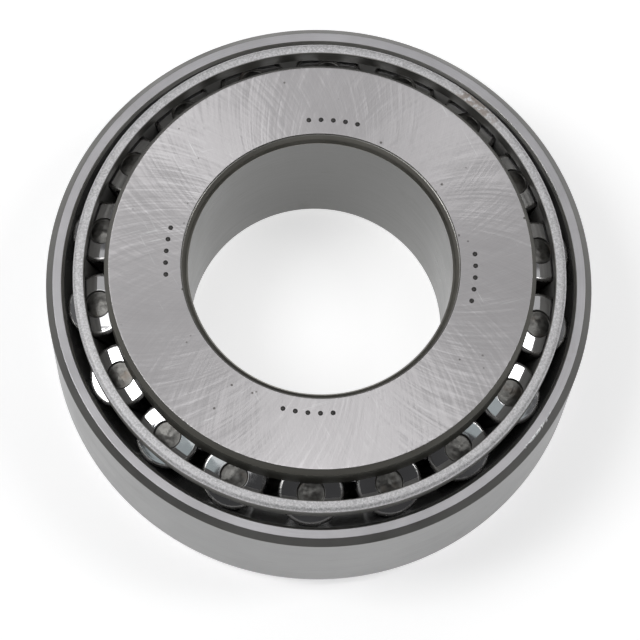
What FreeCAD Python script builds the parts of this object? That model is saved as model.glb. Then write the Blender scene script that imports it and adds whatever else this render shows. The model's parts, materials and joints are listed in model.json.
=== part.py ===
import FreeCAD, Part
import math
import os
import Sketcher

# Single-row tapered roller bearing, standard inch size, in millimetres.
# +Z is the bearing axis. The outer ring's back face lies on Z = 0 and the inner ring's back face is the top.
# The raceways and every roller are cones that share one apex on the axis, below the outer ring.
# Lengths along a roller's own axis are measured from that apex.

DIMS = {
    # boundary sizes
    "bore_radius": 18.256,
    "outside_radius": 38.1,
    "overall_width": 29.37,
    "inner_ring_width": 28.829,
    "outer_ring_width": 23.02,
    # the common cone geometry
    "apex_depth": 74.45,
    "roller_tilt": 17.5,
    "roller_half_angle": 2.55,
    "raceway_clearance": 0.05,
    # rollers
    "roller_count": 18,
    "roller_head_distance": 103.09,
    "roller_length": 20.5,
    "roller_head_round": 0.55,
    "roller_tail_round": 0.4,
    "head_crown": 0.1,
    "dimple_radius": 1.955,
    "dimple_floor_radius": 1.8,
    "dimple_depth": 0.3,
    "dimple_centre_depth": 0.16,
    "tail_dimple_radius": 1.4,
    "tail_dimple_depth": 0.25,
    # inner ring
    "bore_chamfer_radial": 0.998,
    "bore_chamfer_axial": 1.24,
    "front_bore_chamfer": 0.94,
    "big_rib_radius": 29.78,
    "big_rib_chamfer_radial": 0.65,
    "big_rib_chamfer_axial": 0.95,
    "big_rib_gap": 0.05,
    "small_rib_radius": 22.6,
    "small_rib_chamfer": 0.4,
    "small_rib_gap": 0.3,
    "undercut_depth": 0.3,
    "undercut_width": 0.7,
    # outer ring
    "back_corner_round": 2.8,
    "front_chamfer_radial": 0.97,
    "front_chamfer_axial": 1.0,
    "front_face_inner_radius": 35.957,
    "front_edge_break": 0.3,
    "back_edge_break": 0.8,
    # cage, pressed from one sheet: a straight rim, a conical wall and an inward flange at its small end
    "cage_top": 26.28,
    "cage_bottom": 1.0,
    "cage_sheet": 1.55,
    "cage_offset": 1.6,
    "cage_rim_radius": 34.2,
    "cage_flange_radius": 23.4,
    "cage_outer_edge_round": 0.95,
    "cage_inner_edge_round": 0.15,
    "cage_bend_round": 0.5,
    "window_side_clearance": 0.15,
    "window_head_clearance": 0.3,
    "window_tail_clearance": 0.3,
    "window_corner": 0.5,
}

# Angles as the sketches' formulas use them.
TILT = "dims.roller_tilt * 1 deg"
HALF = "dims.roller_half_angle * 1 deg"
OUTER_ANGLE = "(dims.roller_tilt + dims.roller_half_angle) * 1 deg"
HEAD = "dims.roller_head_distance"
TAIL = "(dims.roller_head_distance - dims.roller_length)"
FRONT = "(dims.overall_width - dims.inner_ring_width)"


def make_sheet(doc):
    """Put the driving dimensions in a spreadsheet, one alias a row."""
    sheet = doc.addObject("Spreadsheet::Sheet", "dims")
    for row, (alias, value) in enumerate(DIMS.items(), start=1):
        sheet.set(f"A{row}", alias)
        sheet.set(f"B{row}", str(value))
        sheet.setAlias(f"B{row}", alias)
    doc.recompute()
    return sheet


# ---- points in the bearing's half plane, as formulas of the sheet ----

def by_roller(along, outboard):
    """The (radius, height) of a point given along a roller's axis from the apex and outboard of that axis."""
    radius = f"(({along}) * sin({TILT}) + ({outboard}) * cos({TILT}))"
    height = f"(({along}) * cos({TILT}) - ({outboard}) * sin({TILT}) - dims.apex_depth)"
    return radius, height


def height_across(along, radius):
    """The height at a given radius on the plane square to a roller's axis."""
    return f"(({along}) / cos({TILT}) - ({radius}) * tan({TILT}) - dims.apex_depth)"


def radius_beside(outboard, height):
    """The radius at a given height on the cone that runs parallel to the rollers' axes."""
    return f"(({outboard}) / cos({TILT}) + (dims.apex_depth + ({height})) * tan({TILT}))"


def height_beside(outboard, radius):
    """The height at a given radius on the cone that runs parallel to the rollers' axes."""
    return f"((({radius}) - ({outboard}) / cos({TILT})) / tan({TILT}) - dims.apex_depth)"


def outer_raceway(height):
    """The outer raceway's radius at a given height."""
    return (f"((dims.apex_depth + ({height})) * tan({OUTER_ANGLE})"
            f" + dims.raceway_clearance / cos({OUTER_ANGLE}))")


def inner_raceway(along):
    """A point on the inner raceway, at a distance along the roller's axis."""
    return by_roller(along, f"-(({along}) * tan({HALF}) + dims.raceway_clearance)")


# ---- sketches ----

FULL_TURN = 360
ON_AXIS = 1e-9
SKETCH_NORMAL = FreeCAD.Vector(0, 0, 1)


def vector(x, y):
    return FreeCAD.Vector(x, y, 0)


def round_ends(before, corner, after, radius):
    """Where a rounding leaves the two straight sides of a corner, and its centre."""
    side_in = (before - corner).normalize()
    side_out = (after - corner).normalize()
    half = side_in.getAngle(side_out) / 2
    reach = radius / math.tan(half)
    bisector = (side_in + side_out).normalize()
    return corner + side_in * reach, corner + side_out * reach, corner + bisector * (radius / math.sin(half))


def is_left_turn(before, corner, after):
    return (corner - before).cross(after - corner).z > 0


def bind(sketch, kind, refs, formula, name):
    """Add a dimension to a sketch and tie it to a formula of the sheet."""
    value = float(sketch.evalExpression(formula))
    index = sketch.addConstraint(Sketcher.Constraint(kind, *refs, value))
    sketch.renameConstraint(index, name)
    sketch.setExpression(f"Constraints.{name}", formula)


def locate(sketch, geometry, point, corner, name):
    """Fix a sketch point's two coordinates to its corner's formulas."""
    for kind, formula, suffix in (("DistanceX", corner[0], "across"), ("DistanceY", corner[1], "up")):
        if abs(float(sketch.evalExpression(formula))) < ON_AXIS:
            axis = -2 if kind == "DistanceX" else -1
            sketch.addConstraint(Sketcher.Constraint("PointOnObject", geometry, point, axis))
        else:
            bind(sketch, kind, (-1, 1, geometry, point), formula, f"{name}_{suffix}")


def plane(body, role):
    return next(item for item in body.Origin.OriginFeatures if item.Role == role)


def outline(body, name, corners):
    """Draw a closed outline on the body's XZ plane, counter-clockwise.

    Each corner is (radius formula, height formula) with an optional rounding formula."""
    sketch = body.newObject("Sketcher::SketchObject", name)
    sketch.AttachmentSupport = [(plane(body, "XZ_Plane"), "")]
    sketch.MapMode = "FlatFace"
    body.Document.recompute()

    spots = [vector(*(float(sketch.evalExpression(part)) for part in corner[:2])) for corner in corners]
    total = len(corners)
    starts, ends, centres, radii = list(spots), list(spots), {}, {}
    for i, corner in enumerate(corners):
        if len(corner) == 3:
            radii[i] = float(sketch.evalExpression(corner[2]))
            after = spots[(i + 1) % total]
            ends[i], starts[i], centres[i] = round_ends(spots[i - 1], spots[i], after, radii[i])

    lines = [sketch.addGeometry(Part.LineSegment(starts[i], ends[(i + 1) % total])) for i in range(total)]
    for i, corner in enumerate(corners):
        before, after = lines[i - 1], lines[i]
        if i not in radii:
            sketch.addConstraint(Sketcher.Constraint("Coincident", before, 2, after, 1))
            locate(sketch, after, 1, corner, f"corner{i}")
            continue
        left = is_left_turn(spots[i - 1], spots[i], spots[(i + 1) % total])
        first, last = (ends[i], starts[i]) if left else (starts[i], ends[i])
        angles = [math.atan2(end.y - centres[i].y, end.x - centres[i].x) for end in (first, last)]
        circle = Part.Circle(centres[i], SKETCH_NORMAL, radii[i])
        arc = sketch.addGeometry(Part.ArcOfCircle(circle, *angles))
        near, far = (1, 2) if left else (2, 1)
        sketch.addConstraint(Sketcher.Constraint("Tangent", before, 2, arc, near))
        sketch.addConstraint(Sketcher.Constraint("Tangent", arc, far, after, 1))
        bind(sketch, "Radius", (arc,), corner[2], f"round{i}")
        mark = sketch.addGeometry(Part.Point(spots[i]), True)
        sketch.addConstraint(Sketcher.Constraint("PointOnObject", mark, 1, before))
        sketch.addConstraint(Sketcher.Constraint("PointOnObject", mark, 1, after))
        locate(sketch, mark, 1, corner, f"corner{i}")
    return sketch


def new_body(doc, label):
    body = doc.addObject("PartDesign::Body", label)
    body.Label = label
    return body


def revolve(body, sketch, name):
    """Turn an outline into a solid of revolution about the body's own Z axis."""
    solid = body.newObject("PartDesign::Revolution", name)
    solid.Profile = sketch
    solid.ReferenceAxis = (sketch, ["V_Axis"])
    solid.Angle = FULL_TURN
    return solid


# ---- the pieces ----

def make_outer_ring(doc):
    """The cup: a plain ring with a conical raceway that opens upwards."""
    body = new_body(doc, "outer_ring")
    edge = "(dims.outer_ring_width - dims.front_edge_break)"
    corners = [
        (f"{outer_raceway('dims.back_edge_break')} + dims.back_edge_break", "0"),
        ("dims.outside_radius", "0", "dims.back_corner_round"),
        ("dims.outside_radius", "dims.outer_ring_width - dims.front_chamfer_axial"),
        ("dims.outside_radius - dims.front_chamfer_radial", "dims.outer_ring_width"),
        ("dims.front_face_inner_radius", "dims.outer_ring_width"),
        (outer_raceway(edge), edge),
        (outer_raceway("dims.back_edge_break"), "dims.back_edge_break"),
    ]
    revolve(body, outline(body, "outer_ring_section", corners), "outer_ring_turned")
    return body


def make_inner_ring(doc):
    """The cone: a bored ring with a raceway between a big rib, which guides the rollers, and a small rib."""
    body = new_body(doc, "inner_ring")
    rib_face = f"({HEAD} + dims.big_rib_gap)"
    tail_face = f"({TAIL} - dims.small_rib_gap)"
    head_radius = f"({HEAD} * tan({HALF}))"
    tail_radius = f"({TAIL} * tan({HALF}))"
    deep = "dims.undercut_depth"
    corners = [
        ("dims.bore_radius + dims.front_bore_chamfer", FRONT),
        ("dims.small_rib_radius - dims.small_rib_chamfer", FRONT),
        ("dims.small_rib_radius", f"{FRONT} + dims.small_rib_chamfer"),
        ("dims.small_rib_radius", height_across(tail_face, "dims.small_rib_radius")),
        by_roller(tail_face, f"-{tail_radius} + {deep}"),
        by_roller(f"{tail_face} - {deep} / 2", f"-{tail_radius} - {deep}"),
        by_roller(f"{TAIL} + {deep}", f"-{tail_radius} - {deep}"),
        inner_raceway(f"({TAIL} + dims.undercut_width)"),
        inner_raceway(f"({HEAD} - dims.undercut_width)"),
        by_roller(f"{HEAD} - {deep}", f"-{head_radius} - {deep}"),
        by_roller(f"{rib_face} + {deep} / 2", f"-{head_radius} - {deep}"),
        by_roller(rib_face, f"-{head_radius} + {deep}"),
        ("dims.big_rib_radius", height_across(rib_face, "dims.big_rib_radius")),
        ("dims.big_rib_radius", "dims.overall_width - dims.big_rib_chamfer_axial"),
        ("dims.big_rib_radius - dims.big_rib_chamfer_radial", "dims.overall_width"),
        ("dims.bore_radius + dims.bore_chamfer_radial", "dims.overall_width"),
        ("dims.bore_radius", "dims.overall_width - dims.bore_chamfer_axial"),
        ("dims.bore_radius", f"{FRONT} + dims.front_bore_chamfer"),
    ]
    revolve(body, outline(body, "inner_ring_section", corners), "inner_ring_turned")
    return body


def make_cage(doc):
    """The cage: a pressed sheet with a straight rim above a conical wall that has a window a roller."""
    body = new_body(doc, "cage")
    outer_face = "(dims.cage_offset + dims.cage_sheet)"
    inner_face = "dims.cage_offset"
    flange_top = "(dims.cage_bottom + dims.cage_sheet)"
    rim_outside = "dims.cage_rim_radius"
    rim_inside = "(dims.cage_rim_radius - dims.cage_sheet)"
    corners = [
        ("dims.cage_flange_radius", "dims.cage_bottom"),
        (radius_beside(outer_face, "dims.cage_bottom"), "dims.cage_bottom",
         "dims.cage_bend_round + dims.cage_sheet"),
        (rim_outside, height_beside(outer_face, rim_outside)),
        (rim_outside, "dims.cage_top", "dims.cage_outer_edge_round"),
        (rim_inside, "dims.cage_top", "dims.cage_inner_edge_round"),
        (rim_inside, height_beside(inner_face, rim_inside)),
        (radius_beside(inner_face, flange_top), flange_top, "dims.cage_bend_round"),
        ("dims.cage_flange_radius", flange_top),
    ]
    revolve(body, outline(body, "cage_section", corners), "cage_pressed")
    doc.recompute()

    head = f"({HEAD} + dims.window_head_clearance)"
    tail = f"({TAIL} - dims.window_tail_clearance)"

    def side(along):
        return f"(({along}) * tan({HALF}) + dims.window_side_clearance)"

    corner = "dims.window_corner"
    window = [
        by_roller(tail, "0"),
        by_roller(tail, f"{side(tail)} - {corner}"),
        by_roller(f"{tail} + {corner}", side(f"{tail} + {corner}")),
        by_roller(f"{head} - {corner}", side(f"{head} - {corner}")),
        by_roller(head, f"{side(head)} - {corner}"),
        by_roller(head, "0"),
    ]
    sketch = outline(body, "window_section", window)
    axis_ends = []
    for formulas in (window[0], window[-1]):
        axis_ends.append(vector(*(float(sketch.evalExpression(formula)) for formula in formulas)))
    axis = sketch.addGeometry(Part.LineSegment(*axis_ends), True)
    sketch.addConstraint(Sketcher.Constraint("Coincident", axis, 1, len(window) - 1, 2))
    sketch.addConstraint(Sketcher.Constraint("Coincident", axis, 2, len(window) - 1, 1))
    groove = body.newObject("PartDesign::Groove", "window")
    groove.Profile = sketch
    groove.ReferenceAxis = (sketch, ["Axis0"])
    groove.Angle = FULL_TURN
    doc.recompute()
    solid_before = body.getObject("cage_pressed").Shape.Volume
    if groove.Shape.Volume >= solid_before:
        raise RuntimeError("the cage's first window cuts nothing")

    windows = body.newObject("PartDesign::PolarPattern", "windows")
    windows.Originals = [groove]
    windows.Axis = (plane(body, "Z_Axis"), [""])
    windows.Angle = FULL_TURN
    windows.setExpression("Occurrences", "dims.roller_count")
    body.Tip = windows
    return body


def make_roller(doc, label, number):
    """A tapered roller, drawn from the apex along its own axis and then tilted and turned into place."""
    body = new_body(doc, label)
    shoulder = f"({HEAD} - dims.head_crown)"
    corners = [
        ("0", f"{TAIL} + dims.tail_dimple_depth"),
        ("dims.tail_dimple_radius", TAIL),
        (f"{TAIL} * tan({HALF})", TAIL, "dims.roller_tail_round"),
        (f"{shoulder} * tan({HALF})", shoulder, "dims.roller_head_round"),
        ("dims.dimple_radius", HEAD),
        ("dims.dimple_floor_radius", f"{HEAD} - dims.dimple_depth"),
        ("0", f"{HEAD} - dims.dimple_centre_depth"),
    ]
    revolve(body, outline(body, f"{label}_section", corners), f"{label}_ground")
    turn = f"{number} * {FULL_TURN} / dims.roller_count"
    body.setExpression("Placement", f"placement(vector(0; 0; -dims.apex_depth);"
                                    f" rotation({turn}; dims.roller_tilt; 0))")
    return body


def check(doc, bodies):
    """Stop if any object failed to build or any piece isn't one valid solid."""
    for item in doc.Objects:
        if "Invalid" in item.State or "Error" in item.State:
            raise RuntimeError(f"{item.Name} failed: {item.State}")
    for body in bodies:
        shape = body.Shape
        if shape.isNull() or not shape.isValid() or len(shape.Solids) != 1:
            raise RuntimeError(f"{body.Label} is not one valid solid")


def main():
    doc = FreeCAD.newDocument("tapered_roller_bearing")
    sheet = make_sheet(doc)
    bodies = [make_outer_ring(doc), make_inner_ring(doc), make_cage(doc)]
    for number in range(int(sheet.roller_count)):
        bodies.append(make_roller(doc, f"roller_{number + 1:02d}", number))
    doc.recompute()
    check(doc, bodies)
    os.makedirs("parts", exist_ok=True)
    for body in bodies:
        body.Shape.exportStep(f"parts/{body.Label}.step")
        box = body.Shape.BoundBox
        print(f"{body.Label}: {body.Shape.Volume:.1f} mm3, z {box.ZMin:.3f} to {box.ZMax:.3f},"
              f" x {box.XMin:.3f} to {box.XMax:.3f}")


main()
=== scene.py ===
import json
import math
import bmesh
import bpy
from mathutils import Matrix, Vector, noise


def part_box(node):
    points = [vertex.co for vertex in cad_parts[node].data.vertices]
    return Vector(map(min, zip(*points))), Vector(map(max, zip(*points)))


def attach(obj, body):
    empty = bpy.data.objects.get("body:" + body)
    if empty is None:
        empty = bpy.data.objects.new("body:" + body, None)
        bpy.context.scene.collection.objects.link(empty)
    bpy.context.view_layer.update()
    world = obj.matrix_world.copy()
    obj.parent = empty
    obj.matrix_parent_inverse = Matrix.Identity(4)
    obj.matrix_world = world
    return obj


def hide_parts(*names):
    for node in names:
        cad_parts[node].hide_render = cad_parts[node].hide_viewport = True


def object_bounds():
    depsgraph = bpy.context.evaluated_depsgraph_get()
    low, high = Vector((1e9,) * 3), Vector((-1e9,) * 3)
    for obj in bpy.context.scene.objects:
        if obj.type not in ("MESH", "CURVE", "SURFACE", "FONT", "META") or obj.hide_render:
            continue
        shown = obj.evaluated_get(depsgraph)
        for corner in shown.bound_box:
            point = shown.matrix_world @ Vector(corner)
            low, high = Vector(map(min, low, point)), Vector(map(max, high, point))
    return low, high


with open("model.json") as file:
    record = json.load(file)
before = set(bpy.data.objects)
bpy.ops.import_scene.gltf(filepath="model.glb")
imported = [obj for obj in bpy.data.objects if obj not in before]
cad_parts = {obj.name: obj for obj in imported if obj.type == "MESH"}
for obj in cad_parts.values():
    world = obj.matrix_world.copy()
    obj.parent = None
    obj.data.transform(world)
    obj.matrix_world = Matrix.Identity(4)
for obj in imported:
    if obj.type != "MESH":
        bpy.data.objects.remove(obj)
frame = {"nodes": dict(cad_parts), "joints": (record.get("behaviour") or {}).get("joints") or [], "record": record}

# The looks of a tapered roller bearing: turned and ground rings, a pressed cage and dimpled rollers.
# Lengths are in millimetres until a mesh is made, and +Z is the bearing axis.
# The raceways and rollers are cones with one shared apex; lengths along a roller's axis start there.

MM = 0.001
cad_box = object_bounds()
mounts = {mount["name"]: mount for mount in frame["record"]["mounts"]}


def top_of(node):
    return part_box(node)[1].z / MM


def bottom_of(node):
    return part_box(node)[0].z / MM


def joint_axis(name):
    return Vector(next(joint["axis"] for joint in frame["joints"] if joint["name"] == name))


ROLLERS = sorted(node for node in frame["nodes"] if node.startswith("roller_"))
PITCH = 2 * math.pi / len(ROLLERS)

BORE = mounts["bore"]["dims"]["r_mm"]
OUTSIDE = mounts["outside_diameter"]["dims"]["r_mm"]
TILT = joint_axis("roller_01_spin").angle(Vector((0, 0, 1)))
HALF = math.radians(2.55)      # a roller's half angle
APEX_DEPTH = 74.45             # how far the shared apex lies below the outer ring's back face
HEAD = 103.09                  # from the apex to a roller's big end, along its axis
TAIL = HEAD - 20.5             # and to its small end
RUNNING_GAP = 0.05             # between a roller and each raceway
DIMPLE_RADIUS = 1.8            # of the forged floor in a roller's head
CHAMFER_WIDTH = 0.97           # of the outer ring's front chamfer, across the face
CHAMFER_DROP = 1.0             # and down the outside

EDGE = 0.07                    # the break on a machined edge
SUPPORT = 0.12                 # how far from a rounded corner a flat side gets a line of its own
RING_STEPS = 288
ROLLER_STEPS = 72

NICK = (34.0, -14.9, 22.9)     # where the outer ring's front edge was knocked
SMUDGE = (16.2, 28.6, 26.3)    # a brown stain on the cage's rim
SWEEP_TURN = 0.075             # how far the ground face's sheen turns with its lines, in whole turns


# ---- outlines ----

def by_roller(along, outboard):
    """A point (radius, height) given along a roller's axis from the apex, and outboard of that axis."""
    return (along * math.sin(TILT) + outboard * math.cos(TILT),
            along * math.cos(TILT) - outboard * math.sin(TILT) - APEX_DEPTH)


def height_across(along, radius):
    """The height at a radius on the plane square to a roller's axis."""
    return along / math.cos(TILT) - radius * math.tan(TILT) - APEX_DEPTH


def radius_beside(outboard, height):
    """The radius at a height on the cone parallel to the rollers' axes."""
    return outboard / math.cos(TILT) + (APEX_DEPTH + height) * math.tan(TILT)


def height_beside(outboard, radius):
    """The height at a radius on the cone parallel to the rollers' axes."""
    return (radius - outboard / math.cos(TILT)) / math.tan(TILT) - APEX_DEPTH


def outer_raceway(height):
    angle = TILT + HALF
    return (APEX_DEPTH + height) * math.tan(angle) + RUNNING_GAP / math.cos(angle)


def inner_raceway(along):
    return by_roller(along, -(along * math.tan(HALF) + RUNNING_GAP))


def arc_points(before, corner, after, radius):
    """The points of a rounding between two straight sides, or the bare corner if it isn't rounded."""
    longest_reach, widest_step = 0.45, math.radians(14)      # the first as a share of the side
    if not radius:
        return [corner]
    side_in, side_out = (before - corner).normalized(), (after - corner).normalized()
    half = side_in.angle(side_out) / 2
    shorter_side = min((before - corner).length, (after - corner).length)
    reach = min(radius / math.tan(half), longest_reach * shorter_side)
    radius = reach * math.tan(half)
    centre = corner + (side_in + side_out).normalized() * (radius / math.sin(half))
    first, last = corner + side_in * reach - centre, corner + side_out * reach - centre
    steps = max(2, math.ceil((math.pi - 2 * half) / widest_step))
    turn = first.angle_signed(last)
    return [centre + first @ Matrix.Rotation(turn * k / steps, 2) for k in range(steps + 1)]


def outline(corners):
    """A smooth outline from corners (radius, height, rounding, finish of the side that follows).

    Returns the points and, for each of them, the finish of the stretch that follows it. A rounding has the
    finish of the side before it, and an edge break that of the side after it."""
    spots = [Vector(corner[:2]) for corner in corners]
    total = len(corners)
    arcs = [arc_points(spots[i - 1], spots[i], spots[(i + 1) % total], corners[i][2]) for i in range(total)]
    points, finishes = [], []
    for i, arc in enumerate(arcs):
        rounding, finish = corners[i][2:]
        points += arc
        finishes += [corners[i - 1][3] if rounding > EDGE else finish] * (len(arc) - 1) + [finish]
        start, end = arc[-1], arcs[(i + 1) % total][0]
        length = (end - start).length
        if length > 4 * SUPPORT:
            along = (end - start).normalized()
            points += [start + along * SUPPORT, end - along * SUPPORT]
            finishes += [finish, finish]
    return points, finishes


# ---- meshes ----

def new_piece(name, vertices, faces, materials, face_slots, body):
    """A smooth-shaded mesh object, from points in millimetres, that rides on a body."""
    mesh = bpy.data.meshes.new(name)
    mesh.from_pydata([Vector(point) * MM for point in vertices], [], faces)
    for material in materials:
        mesh.materials.append(material)
    mesh.polygons.foreach_set("material_index", face_slots)
    mesh.shade_smooth()
    mesh.validate()
    piece = bpy.data.objects.new(name, mesh)
    bpy.context.scene.collection.objects.link(piece)
    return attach(piece, body)


def turned(points, finishes, steps):
    """Turn a closed outline about Z. Points on the axis become one vertex, and the rest a ring each."""
    vertices, rings, faces, slots = [], [], [], []
    for point in points:
        if abs(point.x) < 1e-6:
            rings.append([len(vertices)] * steps)
            vertices.append(Vector((0, 0, point.y)))
            continue
        rings.append(list(range(len(vertices), len(vertices) + steps)))
        vertices += [Vector((point.x * math.cos(a), point.x * math.sin(a), point.y))
                     for a in (2 * math.pi * k / steps for k in range(steps))]
    for i in range(len(points)):
        low, high = rings[i], rings[(i + 1) % len(points)]
        for k in range(steps):
            after = (k + 1) % steps
            face = list(dict.fromkeys([low[k], low[after], high[after], high[k]]))
            if len(face) > 2:
                faces.append(face)
                slots.append(finishes[i])
    return vertices, faces, slots


# ---- materials ----

def scaled(color, factor):
    """A colour made darker or lighter."""
    return tuple(channel * factor for channel in color)


class Tree:
    """A short way to write a material's nodes.

    Places are in metres, so a noise's scale is about the number of its features in a metre."""

    def __init__(self, name):
        self.material = bpy.data.materials.new(name)
        self.material.use_nodes = True
        self.nodes = self.material.node_tree.nodes
        self.links = self.material.node_tree.links
        self.nodes.clear()
        self.shader = self.add("ShaderNodeBsdfPrincipled")
        output = self.add("ShaderNodeOutputMaterial")
        self.links.new(self.shader.outputs[0], output.inputs["Surface"])
        self.place = self.add("ShaderNodeTexCoord").outputs["Object"]

    def add(self, kind, **settings):
        node = self.nodes.new(kind)
        for key, value in settings.items():
            setattr(node, key, value)
        return node

    def put(self, node, socket, value):
        """Set a socket to a value, link it to another node's output, or leave it as it is for None."""
        if isinstance(value, bpy.types.NodeSocket):
            self.links.new(value, node.inputs[socket])
        elif value is not None:
            node.inputs[socket].default_value = value

    def math(self, operation, a, b=None, c=None):
        node = self.add("ShaderNodeMath", operation=operation)
        for index, value in enumerate((a, b, c)):
            self.put(node, index, value)
        return node.outputs[0]

    def plus(self, a, b):
        return self.math("ADD", a, b)

    def times(self, a, b):
        return self.math("MULTIPLY", a, b)

    def vector(self, operation, a, b=None):
        node = self.add("ShaderNodeVectorMath", operation=operation)
        self.put(node, 0, a)
        self.put(node, 1, b)
        return node.outputs[0]

    def join(self, x, y, z):
        node = self.add("ShaderNodeCombineXYZ")
        for index, value in enumerate((x, y, z)):
            self.put(node, index, value)
        return node.outputs[0]

    def noise(self, vector, scale, detail=3.0, roughness=0.5):
        node = self.add("ShaderNodeTexNoise")
        self.put(node, "Vector", vector)
        self.put(node, "Scale", scale)
        self.put(node, "Detail", detail)
        self.put(node, "Roughness", roughness)
        return node.outputs[0]

    def ramp(self, value, low, high, to_low=0.0, to_high=1.0):
        """Map a value from one range to another, with no overshoot."""
        node = self.add("ShaderNodeMapRange")
        for socket, item in zip((0, 1, 2, 3, 4), (value, low, high, to_low, to_high)):
            self.put(node, socket, item)
        return node.outputs[0]

    def mix(self, factor, a, b):
        """Mix two colours. Sockets 6, 7 and 2 are the node's colour ones."""
        node = self.add("ShaderNodeMix", data_type="RGBA")
        self.put(node, 0, factor)
        self.put(node, 6, a if isinstance(a, bpy.types.NodeSocket) else (*a, 1))
        self.put(node, 7, b if isinstance(b, bpy.types.NodeSocket) else (*b, 1))
        return node.outputs[2]

    def bump(self, height, strength, distance, normal=None):
        node = self.add("ShaderNodeBump")
        self.put(node, "Height", height)
        self.put(node, "Strength", strength)
        self.put(node, "Distance", distance * MM)
        self.put(node, "Normal", normal)
        return node.outputs[0]

    def polar(self):
        """The radius, height and unit direction about the bearing axis."""
        split = self.add("ShaderNodeSeparateXYZ")
        self.put(split, 0, self.place)
        flat = self.join(split.outputs[0], split.outputs[1], 0.0)
        length = self.add("ShaderNodeVectorMath", operation="LENGTH")
        self.put(length, 0, flat)
        return length.outputs["Value"], split.outputs[2], self.vector("NORMALIZE", flat)

    def finish(self, color, roughness, normal=None, metallic=1.0, anisotropic=0.0):
        self.put(self.shader, "Base Color", color)
        self.put(self.shader, "Roughness", roughness)
        self.put(self.shader, "Normal", normal)
        self.put(self.shader, "Metallic", metallic)
        self.put(self.shader, "Anisotropic", anisotropic)
        return self.material


def around_lines(tree, fineness):
    """Fine lines that run round the bearing axis, as turning and grinding leave them."""
    wander = 2.0
    radius, height, direction = tree.polar()
    reach = tree.plus(tree.times(radius, fineness), tree.times(height, fineness * 0.9))
    loose = tree.vector("MULTIPLY", direction, (wander, wander, 0.0))
    return tree.noise(tree.vector("ADD", loose, tree.join(0.0, 0.0, reach)), 1.0, 4.0, 0.6)


def machined(name, color, roughness, fineness, line_bump=0.25, tint=(0.5, 0.48, 0.42),
             line_weight=1.0, nick=False, mottle=0.2, edge_tint=1.0, metallic=1.0):
    """Steel turned or ground about the bearing axis.

    fineness is the number of lines in a metre, and line_weight is how strongly they show in the colour.
    mottle is how much the clouds darken it, tint is what the stains multiply it by, and edge_tint is how
    bright a grazing reflection is."""
    tree = Tree(name)
    lines = around_lines(tree, fineness)
    clouds = tree.noise(tree.place, 90.0, 4.0, 0.6)
    grains = tree.noise(tree.place, 2600.0, 2.0, 0.6)
    stains = tree.noise(tree.place, 160.0, 5.0, 0.65)
    stained = tuple(channel * share for channel, share in zip(color, tint))
    base = tree.mix(tree.ramp(clouds, 0.3, 0.7), scaled(color, 1 - mottle), color)
    base = tree.mix(tree.ramp(lines, 0.35, 0.7, 0.0, 0.3 * line_weight), base, scaled(color, 0.7))
    base = tree.mix(tree.ramp(stains, 0.62, 0.75, 0.0, 0.35), base, stained)
    spread = 0.2 * line_weight
    rough = tree.plus(tree.ramp(lines, 0.3, 0.7, roughness * (1 - spread), roughness * (1 + spread)),
                      tree.ramp(clouds, 0.35, 0.7, -0.03, 0.05))
    if nick:
        flecks = nick_flecks(tree)
        base = tree.mix(flecks, base, (0.95, 0.95, 0.95))
        rough = tree.plus(rough, tree.times(flecks, 0.2))
    normal = tree.bump(lines, line_bump, 0.01)
    normal = tree.bump(grains, 0.12, 0.01, normal)
    tree.shader.inputs["Specular Tint"].default_value = (edge_tint, edge_tint, edge_tint, 1)
    return tree.finish(base, rough, normal, metallic)


def near_spot(tree, spot, reach):
    """1 at a place given in millimetres, falling to 0 at the reach."""
    away = tree.add("ShaderNodeVectorMath", operation="DISTANCE")
    tree.put(away, 0, tree.place)
    tree.put(away, 1, tuple(Vector(spot) * MM))
    return tree.ramp(away.outputs["Value"], 0.0, reach * MM, 1.0, 0.0)


def nick_flecks(tree):
    """Flecks of bare bright metal along the outer ring's front edge, where it was knocked."""
    radius, _, _ = tree.polar()
    off_edge = tree.math("ABSOLUTE", tree.math("SUBTRACT", radius, (OUTSIDE - CHAMFER_WIDTH) * MM))
    band = tree.ramp(off_edge, 0.1 * MM, 0.45 * MM, 1.0, 0.0)
    patch = tree.times(tree.times(near_spot(tree, NICK, 9.0), band), 0.55)
    ragged = tree.noise(tree.place, 2400.0, 3.0, 0.65)
    return tree.ramp(tree.plus(patch, ragged), 0.93, 0.99)


def swept_lines(tree, sweep, count, length):
    """Fine lines that cross a face from bore to rim, swept round as they go, as a cup wheel grinds them.

    sweep is in radians for each millimetre outwards, count is how closely they lie side by side, and length
    is about how long each one is, in millimetres."""
    radius, _, direction = tree.polar()
    turn = tree.times(radius, sweep / MM)
    swept = tree.add("ShaderNodeVectorRotate", rotation_type="Z_AXIS")
    tree.put(swept, "Vector", direction)
    tree.put(swept, "Angle", turn)
    spread = tree.vector("MULTIPLY", swept.outputs[0], (count, count, 0.0))
    along = tree.join(0.0, 0.0, tree.times(radius, 1 / (length * MM)))
    return tree.noise(tree.vector("ADD", spread, along), 1.0, 3.0, 0.6)


def scratches(tree, heading):
    """Long thin scratches across a flat face, all roughly one way, which the heading gives in degrees."""
    split = tree.add("ShaderNodeSeparateXYZ")
    tree.put(split, 0, tree.place)
    x, y = split.outputs[0], split.outputs[1]
    cosine, sine = math.cos(math.radians(heading)), math.sin(math.radians(heading))
    along = tree.plus(tree.times(x, cosine), tree.times(y, sine))
    across = tree.math("SUBTRACT", tree.times(y, cosine), tree.times(x, sine))
    stretched = tree.join(tree.times(along, 110.0), tree.times(across, 2100.0), heading)
    return tree.ramp(tree.noise(stretched, 1.0, 2.0, 0.5), 0.68, 0.76)


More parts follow.
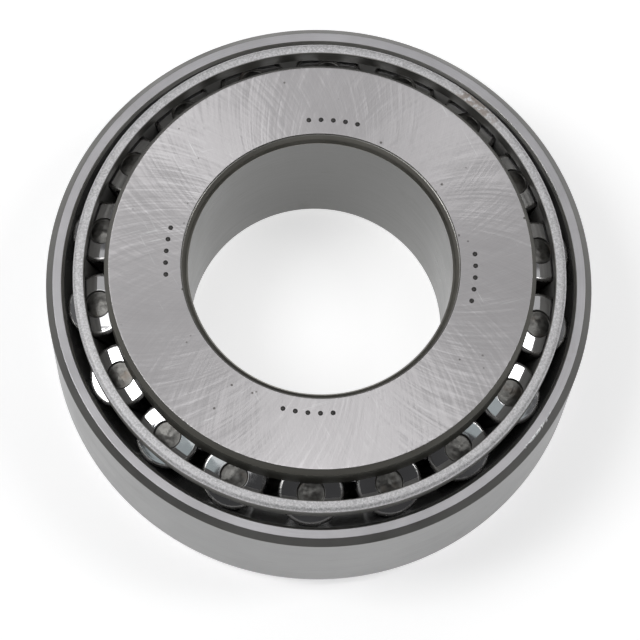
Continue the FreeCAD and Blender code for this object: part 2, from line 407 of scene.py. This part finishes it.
def pits(tree):
    """1 in a few small pits, more of them beside the bore."""
    cell = tree.add("ShaderNodeTexVoronoi")
    tree.put(cell, "Vector", tree.place)
    tree.put(cell, "Scale", 620.0)
    radius, _, _ = tree.polar()
    beside_bore = tree.ramp(radius, 19.5 * MM, 21.5 * MM, 0.1, 0.0)
    crowd = tree.plus(tree.noise(tree.place, 170.0, 2.0), beside_bore)
    return tree.times(tree.ramp(cell.outputs["Distance"], 0.14, 0.08), tree.ramp(crowd, 0.6, 0.63))


def ground_face(name, color, roughness):
    """The inner ring's back face: surface ground, with crossing sweeps of fine lines and a few pits."""
    tree = Tree(name)
    left, right = swept_lines(tree, 0.019, 75.0, 8.0), swept_lines(tree, -0.017, 85.0, 7.0)
    patches = tree.noise(tree.place, 75.0, 3.0, 0.55)
    streaks = tree.plus(tree.times(tree.ramp(left, 0.52, 0.72), tree.ramp(patches, 0.4, 0.6, 0.1, 1.0)),
                        tree.times(tree.ramp(right, 0.52, 0.72), tree.ramp(patches, 0.6, 0.4, 0.1, 1.0)))
    fine = tree.plus(swept_lines(tree, 0.016, 260.0, 6.0), swept_lines(tree, -0.02, 240.0, 6.0))
    grains = tree.noise(tree.place, 1800.0, 2.0, 0.55)
    clouds = tree.noise(tree.place, 55.0, 3.0, 0.5)
    scratched = tree.plus(scratches(tree, -50.0), scratches(tree, 28.0))
    base = tree.mix(tree.ramp(clouds, 0.3, 0.7), scaled(color, 0.86), color)
    base = tree.mix(tree.ramp(streaks, 0.0, 1.0, 0.0, 0.2), base, (0.9, 0.9, 0.91))
    base = tree.mix(tree.ramp(scratched, 0.0, 1.0, 0.0, 0.55), base, (0.95, 0.95, 0.95))
    base = tree.mix(tree.ramp(fine, 0.7, 1.3, 0.0, 0.2), base, (0.35, 0.35, 0.35))
    base = tree.mix(tree.ramp(pits(tree), 0.0, 1.0, 0.0, 0.85), base, (0.12, 0.11, 0.1))
    rough = tree.plus(tree.ramp(fine, 0.7, 1.3, roughness * 0.85, roughness * 1.15),
                      tree.ramp(streaks, 0.0, 1.0, 0.0, 0.06))
    lean = tree.math("SUBTRACT", left, right)
    tree.put(tree.shader, "Anisotropic Rotation", tree.ramp(lean, -0.3, 0.3, -SWEEP_TURN, SWEEP_TURN))
    normal = tree.bump(streaks, 0.17, 0.01)
    normal = tree.bump(fine, 0.25, 0.006, normal)
    normal = tree.bump(grains, 0.15, 0.006, normal)
    tangent = tree.add("ShaderNodeTangent", direction_type="RADIAL", axis="Z")
    tree.put(tree.shader, "Tangent", tangent.outputs[0])
    return tree.finish(base, rough, normal, anisotropic=0.65)


def mirror_steel(name, color, roughness):
    """Superfinished steel: a near mirror with faint handling haze."""
    tree = Tree(name)
    haze = tree.noise(tree.place, 700.0, 4.0, 0.6)
    smear = tree.noise(tree.place, 260.0, 3.0, 0.5)
    base = tree.mix(tree.ramp(smear, 0.35, 0.7), scaled(color, 0.88), color)
    rough = tree.ramp(haze, 0.4, 0.75, roughness * 0.6, roughness * 1.8)
    normal = tree.bump(tree.noise(tree.place, 1500.0, 2.0, 0.5), 0.05, 0.004)
    return tree.finish(base, rough, normal)


def forged_dimple(name):
    """The as-forged bottom of a roller's end dimple."""
    tree = Tree(name)
    lumps = tree.noise(tree.place, 1500.0, 4.0, 0.55)
    stain = tree.noise(tree.place, 420.0, 3.0, 0.6)
    base = tree.mix(tree.ramp(lumps, 0.3, 0.7), (0.1, 0.098, 0.092), (0.21, 0.207, 0.198))
    base = tree.mix(tree.ramp(stain, 0.55, 0.72, 0.0, 0.4), base, (0.12, 0.085, 0.06))
    rough = tree.ramp(lumps, 0.3, 0.75, 0.34, 0.55)
    normal = tree.bump(lumps, 0.5, 0.04)
    return tree.finish(base, rough, normal)


def tumbled_sheet(name, color):
    """The cage's pressed sheet, tumbled to a bright speckled grey."""
    tree = Tree(name)
    speckle = tree.noise(tree.place, 3600.0, 3.0, 0.7)
    dents = tree.noise(tree.place, 1300.0, 3.0, 0.55)
    clouds = tree.noise(tree.place, 180.0, 4.0, 0.6)
    base = tree.mix(tree.ramp(speckle, 0.4, 0.62), scaled(color, 0.62), color)
    base = tree.mix(tree.ramp(clouds, 0.3, 0.7, 0.0, 0.35), base, scaled(color, 0.9))
    base = tree.mix(tree.ramp(dents, 0.6, 0.7, 0.0, 0.45), base, scaled(color, 0.5))
    smudge = tree.times(near_spot(tree, SMUDGE, 5.0), tree.ramp(dents, 0.35, 0.55))
    base = tree.mix(tree.ramp(smudge, 0.1, 0.5, 0.0, 0.55), base, (0.3, 0.22, 0.16))
    rough = tree.ramp(speckle, 0.35, 0.7, 0.52, 0.75)
    normal = tree.bump(dents, 0.6, 0.06)
    normal = tree.bump(speckle, 0.8, 0.04, normal)
    return tree.finish(base, rough, normal)


def etched_oxide(name):
    """The dark deposit that electric etching leaves."""
    tree = Tree(name)
    grains = tree.noise(tree.place, 6000.0, 3.0, 0.7)
    base = tree.mix(tree.ramp(grains, 0.35, 0.65), (0.03, 0.03, 0.03), (0.11, 0.105, 0.1))
    rough = tree.ramp(grains, 0.3, 0.7, 0.45, 0.7)
    return tree.finish(base, rough, tree.bump(grains, 0.4, 0.01), metallic=0.4)


# Turned and ground steels have a colour, a roughness, the lines in a metre and how far the lines stand out.
BROWNED = (0.6, 0.5, 0.36)
FINISHES = {
    "back_face": ground_face("ground_back_face", (0.735, 0.713, 0.723), 0.36),
    "front_face": machined("ground_front_face", (0.66, 0.65, 0.67), 0.38, 7000.0, nick=True),
    # painted shade: the outside is a much darker copy of the ground ring steel, for the dim, shaded floor that it
    # reflects
    "outside": machined("ground_outside", (0.245, 0.245, 0.245), 0.34, 6000.0, 0.04,
                        line_weight=0.45, mottle=0.16),
    # painted shade: the bore is a much darker copy of the ring steel, for the shade inside the bore
    "bore": machined("honed_bore", (0.165, 0.165, 0.16), 0.32, 6500.0, 0.1, line_weight=0.5),
    "chamfer": machined("turned_chamfer", (0.25, 0.247, 0.238), 0.4, 5000.0,
                        tint=(0.5, 0.46, 0.36), nick=True),
    "dark_chamfer": machined("heat_darkened_chamfer", (0.115, 0.112, 0.1), 0.34, 5000.0, tint=BROWNED),
    "bore_chamfer": machined("bore_chamfer", (0.44, 0.425, 0.38), 0.36, 5000.0, tint=BROWNED),
    "bore_entry": machined("bore_entry", (0.5, 0.485, 0.44), 0.36, 5000.0),
    "edge_break": machined("edge_break", (0.45, 0.445, 0.43), 0.3, 5000.0, 0.2),
    # painted shade: the raceway is a darker, less metallic copy of the ring steel with dimmed grazing reflections,
    # for the shaded gap round the rollers
    "raceway": machined("honed_raceway", (0.36, 0.358, 0.355), 0.2, 11000.0, 0.1,
                        edge_tint=0.25, metallic=0.7),
    "turned": machined("turned_relief", (0.24, 0.235, 0.21), 0.55, 3500.0, 0.4),
    "roller_end": mirror_steel("roller_end_mirror", (0.66, 0.66, 0.67), 0.06),
    "roller_side": mirror_steel("roller_side_superfinish", (0.45, 0.45, 0.455), 0.12),
    "roller_corner": mirror_steel("roller_corner_tumbled", (0.4, 0.395, 0.39), 0.3),
    "dimple": forged_dimple("forged_dimple"),
    "sheet": tumbled_sheet("tumbled_sheet", (0.85, 0.843, 0.852)),
    # painted shade: the cage's walls are darker copies of its tumbled sheet, and the pressed wall's grazing
    # reflections are dimmed, for the shade between the rollers and rings
    "rim_wall": machined("rim_wall", (0.36, 0.355, 0.34), 0.6, 1500.0, 0.3),
    "pressed": machined("pressed_wall", (0.42, 0.415, 0.405), 0.55, 1500.0, 0.3,
                        edge_tint=0.3, metallic=0.45),
    "etch": etched_oxide("etched_oxide"),
}


def with_finishes(slots):
    """The materials that a piece needs, and its faces' indices into them."""
    used = sorted(set(slots))
    return [FINISHES[name] for name in used], [used.index(name) for name in slots]


# ---- the pieces ----

def make_outer_ring():
    top, bottom = top_of("outer_ring"), bottom_of("outer_ring")
    edge_break, back_break, back_corner = 0.3, 0.8, 2.8
    face_inside = 35.957
    corners = [
        (outer_raceway(back_break) + back_break, bottom, EDGE, "front_face"),
        (OUTSIDE, bottom, back_corner, "outside"),
        (OUTSIDE, top - CHAMFER_DROP, EDGE, "chamfer"),
        (OUTSIDE - CHAMFER_WIDTH, top, EDGE, "front_face"),
        (face_inside, top, EDGE, "edge_break"),
        (outer_raceway(top - edge_break), top - edge_break, EDGE, "raceway"),
        (outer_raceway(back_break), back_break, EDGE, "edge_break"),
    ]
    vertices, faces, slots = turned(*outline(corners), RING_STEPS)
    piece = new_piece("outer_ring_ground", vertices, faces, *with_finishes(slots), "outer_ring")
    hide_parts("outer_ring")


def make_inner_ring():
    top, bottom = top_of("inner_ring"), bottom_of("inner_ring")
    big_rib, small_rib = 29.78, 22.6
    rib_chamfer_width, rib_chamfer_drop, small_rib_chamfer, front_bore_chamfer = 0.65, 0.95, 0.4, 0.94
    tail_gap, deep, undercut = 0.3, 0.3, 0.7
    rib_face, tail_face = HEAD + RUNNING_GAP, TAIL - tail_gap
    head_radius, tail_radius = HEAD * math.tan(HALF), TAIL * math.tan(HALF)
    # The bore's corner at the back face: outwards from the bore, down from the face, rounding, finish.
    bore_corner = [
        (0.998, 0.0, 0.03, "turned"),
        (0.93, 0.16, 0.02, "chamfer"),
        (0.82, 0.19, 0.04, "bore_chamfer"),
        (0.34, 0.62, 0.6, "bore_entry"),
        (0.0, 1.24, 0.15, "bore"),
    ]
    corners = [
        (BORE + front_bore_chamfer, bottom, EDGE, "front_face"),
        (small_rib - small_rib_chamfer, bottom, EDGE, "chamfer"),
        (small_rib, bottom + small_rib_chamfer, EDGE, "turned"),
        (small_rib, height_across(tail_face, small_rib), EDGE, "turned"),
        (*by_roller(tail_face, deep - tail_radius), EDGE, "turned"),
        (*by_roller(tail_face - deep / 2, -deep - tail_radius), EDGE, "turned"),
        (*by_roller(TAIL + deep, -deep - tail_radius), EDGE, "turned"),
        (*inner_raceway(TAIL + undercut), EDGE, "raceway"),
        (*inner_raceway(HEAD - undercut), EDGE, "turned"),
        (*by_roller(HEAD - deep, -deep - head_radius), EDGE, "turned"),
        (*by_roller(rib_face + deep / 2, -deep - head_radius), EDGE, "turned"),
        (*by_roller(rib_face, deep - head_radius), EDGE, "raceway"),
        (big_rib, height_across(rib_face, big_rib), EDGE, "turned"),
        (big_rib, top - rib_chamfer_drop, EDGE, "dark_chamfer"),
        (big_rib - rib_chamfer_width, top, EDGE, "back_face"),
        *((BORE + out, top - down, rounding, finish) for out, down, rounding, finish in bore_corner),
        (BORE, bottom + front_bore_chamfer, EDGE, "chamfer"),
    ]
    vertices, faces, slots = turned(*outline(corners), RING_STEPS)
    piece = new_piece("inner_ring_ground", vertices, faces, *with_finishes(slots), "inner_ring")
    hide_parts("inner_ring")


def dimple_lump(point, seed):
    """The height of the small lumps on the forged floor, which fade towards its rim."""
    height, fineness, seed_step = 0.05, 1.6, 7.3
    fade = max(0.0, 1.0 - (point.xy.length / DIMPLE_RADIUS) ** 4)
    return noise.noise(Vector((point.x, point.y, seed * seed_step)) * fineness) * height * fade


def with_rings(points, finishes):
    """Add rings across a roller's dimples, and across its head, where they raise a slight crown."""
    floor_rings, shortest_floor = 8, 0.4
    head_rings, shortest_head, crown_height = 9, 1.0, 0.009
    dense, kinds = [], []
    for point, after, kind in zip(points, points[1:] + points[-1:], finishes):
        dense.append(point)
        width = abs(after.x - point.x)
        if kind == "dimple" and width > shortest_floor:
            dense += [point.lerp(after, k / (floor_rings + 1)) for k in range(1, floor_rings + 1)]
        elif kind == "roller_end" and width > shortest_head:
            for k in range(1, head_rings + 1):
                share = k / (head_rings + 1)
                between = point.lerp(after, share)
                between.y += crown_height * 4 * share * (1 - share)
                dense.append(between)
        kinds += [kind] * (len(dense) - len(kinds))
    return dense, kinds


def make_roller(name, number):
    crown, head_corner, tail_corner = 0.1, 0.55, 0.4
    dimple_edge, wall_drop, centre_drop, wall_corner = 1.955, 0.3, 0.16, 0.12
    tail_dimple, tail_dimple_depth = 1.4, 0.25
    shoulder, corner_start, lumps_start = HEAD - crown, HEAD - 0.8, HEAD - 0.5
    corners = [
        (0, TAIL + tail_dimple_depth, 0.0, "dimple"),
        (tail_dimple, TAIL, EDGE, "roller_side"),
        (TAIL * math.tan(HALF), TAIL, tail_corner, "roller_side"),
        (shoulder * math.tan(HALF), shoulder, head_corner, "roller_end"),
        (dimple_edge, HEAD, EDGE, "dimple"),
        (DIMPLE_RADIUS, HEAD - wall_drop, wall_corner, "dimple"),
        (0, HEAD - centre_drop, 0.0, "dimple"),
    ]
    points, finishes = outline(corners)
    finishes = ["roller_corner" if kind == "roller_side" and point.y > corner_start else kind
                for point, kind in zip(points, finishes)]
    points, finishes = with_rings(points, finishes)
    vertices, faces, slots = turned(points, finishes, ROLLER_STEPS)
    for vertex in vertices:
        if vertex.z > lumps_start and vertex.xy.length < DIMPLE_RADIUS:
            vertex.z += dimple_lump(vertex, number + 1)
    place = (Matrix.Translation((0, 0, -APEX_DEPTH)) @ Matrix.Rotation(number * PITCH, 4, "Z")
             @ Matrix.Rotation(TILT, 4, "Y"))
    vertices = [place @ vertex for vertex in vertices]
    piece = new_piece(f"{name}_ground", vertices, faces, *with_finishes(slots), name)
    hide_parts(name)


def make_marks():
    """Four rows of plain round dots, etched on the inner ring's back face, in place of any lettering."""
    rows, dots, first_row, gap = 4, 5, 97.5, 4.6      # first_row and gap in degrees
    radius, dot, proud, sides = 21.3, 0.34, 0.008, 20
    vertices, faces = [], []
    for row in range(rows):
        for number in range(dots):
            angle = math.radians(360 / rows * row + first_row + gap * (number - dots // 2))
            centre = Vector((radius * math.cos(angle), radius * math.sin(angle), top_of("inner_ring")))
            first = len(vertices)
            for height in (-proud, proud):
                vertices += [centre + Vector((dot * math.cos(a), dot * math.sin(a), height))
                             for a in (2 * math.pi * k / sides for k in range(sides))]
            for k in range(sides):
                after = (k + 1) % sides
                faces.append([first + k, first + after, first + sides + after, first + sides + k])
            faces.append([first + sides + k for k in range(sides)])
            faces.append([first + k for k in reversed(range(sides))])
    new_piece("etched_dots", vertices, faces, *with_finishes(["etch"] * len(faces)), "inner_ring")


SHEET = 1.55              # the cage's thickness
CAGE_OFFSET = 1.6         # from the rollers' axes out to the inside of its wall
CAGE_RIM = 34.2
FLANGE_RADIUS = 23.4
WINDOW_SIDE, WINDOW_END, WINDOW_CORNER = 0.15, 0.3, 0.5
WINDOW_COLUMNS, BAR_COLUMNS = 12, 6


def window_half_angle(point, along):
    """How far round the bearing axis a window reaches from its roller, at a point of the cage's section."""
    # The sides follow a cone that is WINDOW_SIDE wider than the roller. reach is how far along the roller's
    # axis that cone is, at this point's distance from the apex.
    slope = math.tan(HALF)
    across, up = point.x * math.sin(TILT), (point.y + APEX_DEPTH) * math.cos(TILT)
    square = point.x ** 2 + (point.y + APEX_DEPTH) ** 2
    lean = WINDOW_SIDE * slope
    reach = (math.sqrt(lean ** 2 + (1 + slope ** 2) * (square - WINDOW_SIDE ** 2)) - lean) / (1 + slope ** 2)
    angle = math.acos(min(1.0, (reach - up) / across))
    near_end = min(along - (TAIL - WINDOW_END), HEAD + WINDOW_END - along)
    if near_end >= WINDOW_CORNER:
        return angle
    lost = WINDOW_CORNER - math.sqrt(WINDOW_CORNER ** 2 - (WINDOW_CORNER - near_end) ** 2)
    return angle - lost / point.x


def window_rows(outboard):
    """The section's points down one face of the wall beside a window, from its tail end to its head end."""
    curve_steps, side_steps = 4, 10
    low, high = TAIL - WINDOW_END, HEAD + WINDOW_END
    curve = [WINDOW_CORNER * (1 - math.cos(math.pi / 2 * k / curve_steps)) for k in range(curve_steps + 1)]
    straight = high - low - 2 * WINDOW_CORNER
    stops = [low + c for c in curve]
    stops += [low + WINDOW_CORNER + straight * k / side_steps for k in range(1, side_steps)]
    stops += [high - c for c in reversed(curve)]
    return [(Vector(by_roller(along, outboard)), along) for along in stops]


def cage_section():
    """The cage's closed section, as (point, along, finish of the stretch that follows) triples.

    along is given only beside a window."""
    bottom, top = bottom_of("cage"), top_of("cage")
    outer, inner = CAGE_OFFSET + SHEET, CAGE_OFFSET
    rim_inside = CAGE_RIM - SHEET
    sheared, bend, rim_bend_outside, rim_bend_inside, rim_rounding = 0.15, 0.5, 0.6, 0.3, 0.95
    corners = [
        (FLANGE_RADIUS, bottom, sheared, "sheet"),
        (radius_beside(outer, bottom), bottom, bend + SHEET, "pressed"),
        (CAGE_RIM, height_beside(outer, CAGE_RIM), rim_bend_outside, "rim_wall"),
        (CAGE_RIM, top, rim_rounding, "sheet"),
        (rim_inside, top, sheared, "rim_wall"),
        (rim_inside, height_beside(inner, rim_inside), rim_bend_inside, "pressed"),
        (radius_beside(inner, bottom + SHEET), bottom + SHEET, bend, "pressed"),
        (FLANGE_RADIUS, bottom + SHEET, sheared, "pressed"),
    ]
    outer_wall, inner_wall, flats = 1, 5, (0, 3, 7)     # the corner before each wall and each flat
    spots = [Vector(corner[:2]) for corner in corners]
    total = len(corners)
    section = []
    for i, (_, _, rounding, finish) in enumerate(corners):
        after = spots[(i + 1) % total]
        arc = arc_points(spots[i - 1], spots[i], after, rounding)
        section += [(point, None, finish) for point in arc]
        if i == outer_wall:
            section += [(point, along, finish) for point, along in window_rows(outer)]
        elif i == inner_wall:
            section += [(point, along, finish) for point, along in reversed(window_rows(inner))]
        elif i in flats:
            section.append((arc[-1].lerp(after, 0.5), None, finish))
    return section


def cage_vertices(section, half_angles):
    """A ring of points for each row of the section. Their spacing follows the nearest row of the windows."""
    rows, vertices = len(section), []
    for row, (point, _, _) in enumerate(section):
        nearest = min(half_angles, key=lambda i: min(abs(i - row), rows - abs(i - row)))
        reach = half_angles[nearest]
        shares = [reach * (2 * k / WINDOW_COLUMNS - 1) for k in range(WINDOW_COLUMNS)]
        shares += [reach + (PITCH - 2 * reach) * k / BAR_COLUMNS for k in range(BAR_COLUMNS)]
        for pitch in range(len(ROLLERS)):
            for a in (pitch * PITCH + share for share in shares):
                vertices.append(Vector((point.x * math.cos(a), point.x * math.sin(a), point.y)))
    return vertices


def window_frame(outside, inside, start, spot):
    """The faces through the sheet round one window, whose first column is given."""
    end = start + WINDOW_COLUMNS
    faces = []
    for outer, low_outer, inner, low_inner in zip(outside[1:], outside, inside[1:], inside):
        faces.append([spot(row, start) for row in (low_outer, outer, inner, low_inner)])
        faces.append([spot(row, end) for row in (low_outer, low_inner, inner, outer)])
    for column in range(start, end):
        after = column + 1
        for outer, inner, flip in ((outside[0], inside[0], False), (outside[-1], inside[-1], True)):
            face = [spot(outer, column), spot(inner, column), spot(inner, after), spot(outer, after)]
            faces.append(face[::-1] if flip else face)
    return faces


def make_cage():
    section = cage_section()
    rows, columns = len(section), WINDOW_COLUMNS + BAR_COLUMNS
    around = len(ROLLERS) * columns
    beside = [row for row in range(rows) if section[row][1] is not None]
    half_angles = {row: window_half_angle(*section[row][:2]) for row in beside}
    outside, inside = beside[:len(beside) // 2], beside[:len(beside) // 2 - 1:-1]

    def spot(row, column):
        return (row % rows) * around + column % around

    faces, slots = [], []
    for row in range(rows):
        in_wall = row in half_angles and (row + 1) % rows in half_angles
        for column in range(around):
            if not (in_wall and column % columns < WINDOW_COLUMNS):
                faces.append([spot(row, column), spot(row, column + 1),
                              spot(row + 1, column + 1), spot(row + 1, column)])
                slots.append(section[row][2])
    for pitch in range(len(ROLLERS)):
        faces += window_frame(outside, inside, pitch * columns, spot)
    slots += ["pressed"] * (len(faces) - len(slots))
    vertices = cage_vertices(section, half_angles)
    piece = new_piece("cage_pressed", vertices, faces, *with_finishes(slots), "cage")
    soften_edges(piece.data)
    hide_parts("cage")


def soften_edges(mesh):
    """Round the sheared edges of the windows, as tumbling does."""
    sharpest, rounding = math.radians(50), 0.12
    work = bmesh.new()
    work.from_mesh(mesh)
    bmesh.ops.recalc_face_normals(work, faces=work.faces)
    sharp = [edge for edge in work.edges if len(edge.link_faces) == 2 and edge.calc_face_angle() > sharpest]
    bmesh.ops.bevel(work, geom=sharp, offset=rounding * MM, segments=3, profile=0.5,
                    affect="EDGES", clamp_overlap=True)
    for face in work.faces:
        face.smooth = True
    work.to_mesh(mesh)
    work.free()


make_outer_ring()
make_inner_ring()
make_marks()
make_cage()
for index, roller in enumerate(ROLLERS):
    make_roller(roller, index)


# ---- stage, light and camera ----

AZIMUTH, ELEVATION, ROLL = 7.5, 72.01, 4.95     # the camera's, in degrees
NEUTRAL, COOL = (1.0, 1.0, 1.0), (0.84, 0.95, 0.97)

# name, azimuth from the camera's, elevation, width and height in metres, radiance, colour
SOFTBOXES = [
    ("overhead", 225, 76, 0.8, 0.7, 0.48, NEUTRAL),
    ("back", 180, 37, 0.9, 0.35, 0.55, NEUTRAL),
    ("near", 0, 45, 1.0, 0.28, 0.3, NEUTRAL),
    ("left", -84, 59, 0.24, 0.4, 8.0, NEUTRAL),
    ("left_far", -103, 55, 0.09, 0.2, 1.2, NEUTRAL),
    ("left_edge", -113, 49, 0.11, 0.16, 0.42, NEUTRAL),
    ("left_near", -53, 63, 0.17, 0.2, 0.4, COOL),
    ("right_near", 83, 57, 0.12, 0.2, 0.4, COOL),
    ("right_edge", 117, 48, 0.12, 0.1, 0.42, NEUTRAL),
    ("right", 100.5, 58, 0.146, 0.35, 7.3, NEUTRAL),
]


def make_floor():
    """A pale floor that glows softly round the bearing, and a little more inside the bore."""
    size, drop = 3.0, 0.00005      # metres
    glow, bore_glow = 0.54, 0.16
    mesh = bpy.data.meshes.new("floor")
    corners = [(-size, -size, 0), (size, -size, 0), (size, size, 0), (-size, size, 0)]
    mesh.from_pydata(corners, [], [(0, 1, 2, 3)])
    tree = Tree("pale_floor")
    tint = tree.noise(tree.place, 3.0, 2.0)
    tree.finish(tree.mix(tint, (0.78, 0.78, 0.78), (0.8, 0.8, 0.8)), 0.9, metallic=0.0)
    tree.shader.inputs["Emission Color"].default_value = (1, 1, 1, 1)
    away = tree.add("ShaderNodeVectorMath", operation="LENGTH")
    tree.put(away, 0, tree.place)
    pool = tree.plus(tree.ramp(away.outputs["Value"], 0.1, 0.7, glow, 0.0),
                     tree.ramp(away.outputs["Value"], 0.0, 0.035, bore_glow, 0.0))
    tree.put(tree.shader, "Emission Strength", pool)
    mesh.materials.append(tree.material)
    floor = bpy.data.objects.new("floor", mesh)
    bpy.context.scene.collection.objects.link(floor)
    floor.location.z = cad_box[0].z - drop


def direction(azimuth, elevation):
    """The unit vector towards a place in the sky. Azimuth 0 is the near side, and 90 is +X."""
    a, e = math.radians(azimuth), math.radians(elevation)
    return Vector((math.sin(a) * math.cos(e), -math.cos(a) * math.cos(e), math.sin(e)))


def make_softbox(name, turn, elevation, width, height, radiance, color):
    """A rectangular soft light that faces the bearing, with a given brightness seen from there."""
    distance = 0.9      # metres
    light = bpy.data.lights.new(name, "AREA")
    light.shape = "RECTANGLE"
    light.size, light.size_y = width, height
    light.energy = radiance * math.pi * width * height
    light.color = color
    lamp = bpy.data.objects.new(name, light)
    bpy.context.scene.collection.objects.link(lamp)
    towards = direction(AZIMUTH + turn, elevation)
    lamp.location = towards * distance
    lamp.rotation_euler = towards.to_track_quat("Z", "Y").to_euler()


def make_world():
    """A dim studio, darker above the near side, where the camera and its user are."""
    sky_level, dark_level, dark_elevation = 0.15, 0.06, 66
    dark_edge, dark_core = 0.65, 0.95      # as cosines of the angle from the dark part's middle
    world = bpy.data.worlds.new("studio")
    world.use_nodes = True
    nodes, links = world.node_tree.nodes, world.node_tree.links
    sky = nodes.new("ShaderNodeTexCoord").outputs["Generated"]
    dot = nodes.new("ShaderNodeVectorMath")
    dot.operation = "DOT_PRODUCT"
    links.new(sky, dot.inputs[0])
    dot.inputs[1].default_value = direction(AZIMUTH, dark_elevation)
    shade = nodes.new("ShaderNodeMapRange")
    shade.interpolation_type = "SMOOTHSTEP"
    links.new(dot.outputs["Value"], shade.inputs[0])
    for index, value in enumerate((dark_edge, dark_core, sky_level, dark_level), start=1):
        shade.inputs[index].default_value = value
    background = nodes["Background"]
    background.inputs["Color"].default_value = (0.98, 0.98, 1.0, 1)
    links.new(shade.outputs[0], background.inputs["Strength"])
    bpy.context.scene.world = world


def make_camera():
    """The photo's camera, fitted to the rings' edges. All its lengths are in millimetres."""
    distance, aim_height, shift_right, shift_down = 427.7, 15, 0.274, 3.242
    focal_length, sensor = 169.57, 36.0
    aim = Vector((0, 0, aim_height * MM))
    back = direction(AZIMUTH, ELEVATION)
    right = Vector((math.cos(math.radians(AZIMUTH)), math.sin(math.radians(AZIMUTH)), 0))
    up = back.cross(right)
    turn = math.radians(ROLL)
    right, up = right * math.cos(turn) + up * math.sin(turn), up * math.cos(turn) - right * math.sin(turn)
    data = bpy.data.cameras.new("camera")
    data.lens, data.sensor_width = focal_length, sensor
    data.clip_start = 0.01
    camera = bpy.data.objects.new("camera", data)
    bpy.context.scene.collection.objects.link(camera)
    camera.matrix_world = Matrix((right, up, back)).transposed().to_4x4()
    camera.location = aim + back * (distance * MM) + right * shift_right * MM - up * shift_down * MM
    bpy.context.scene.camera = camera


make_floor()
make_world()
for softbox in SOFTBOXES:
    make_softbox(*softbox)
make_camera()
bpy.context.scene.view_settings.view_transform = "Standard"
